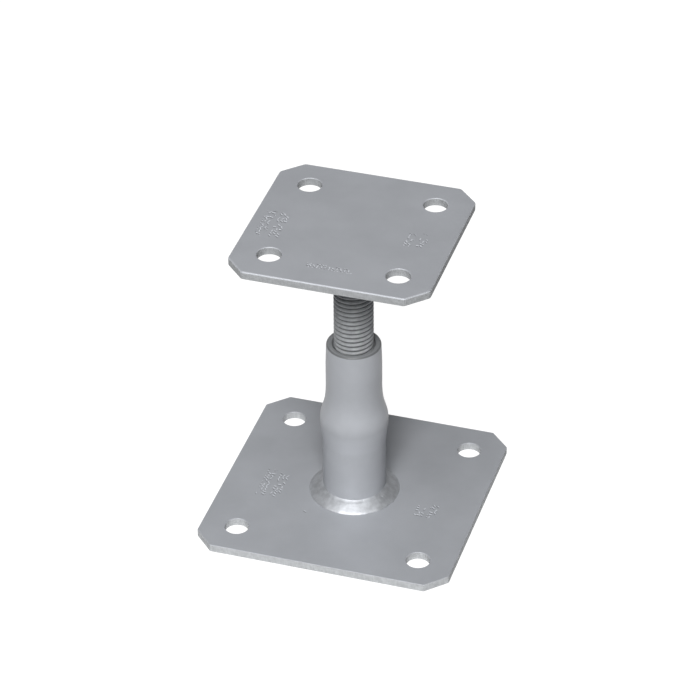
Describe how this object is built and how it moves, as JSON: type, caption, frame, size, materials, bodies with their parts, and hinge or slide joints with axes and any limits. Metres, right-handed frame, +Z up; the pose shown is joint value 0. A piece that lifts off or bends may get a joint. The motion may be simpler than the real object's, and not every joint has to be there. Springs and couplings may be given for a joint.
{
  "type": "adjustable post base",
  "caption": "Post base whose height is set by screw: a swaged, tapped tube welded on a square base plate carries a threaded rod with a smaller square top plate.",
  "frame": {"origin": "middle of the base plate's underside, on the axis of the tube and rod", "axes": "+Z up along the rod's axis, +X and +Y along the sides of the base plate"},
  "size_m": [0.13, 0.13, 0.16],
  "materials": {
    "coated_steel": "satin zinc grey",
    "rod_steel": "zinc plated",
    "weld_metal": "bright as welded"
  },
  "bodies": {
    "base": {"base_plate": "coated_steel", "threaded_tube": "coated_steel", "base_weld": "weld_metal"},
    "rod": {"threaded_rod": "rod_steel", "top_weld": "weld_metal"},
    "top_plate": {"top_plate": "coated_steel"}
  },
  "joints": [
    {"name": "height_adjust", "type": "slide", "parent": "base", "child": "rod", "axis": [0, 0, 1], "range_m": [-0.0576, 0.0051]},
    {"name": "top_plate_turn", "type": "hinge", "parent": "rod", "child": "top_plate", "pos_m": [0, 0, 0.156], "axis": [0, 0, 1], "range_deg": [-8280, 720]}
  ],
  "couplings": [
    {"joint": "height_adjust", "follows": "top_plate_turn", "m_per_rad": 0.00039789}
  ]
}
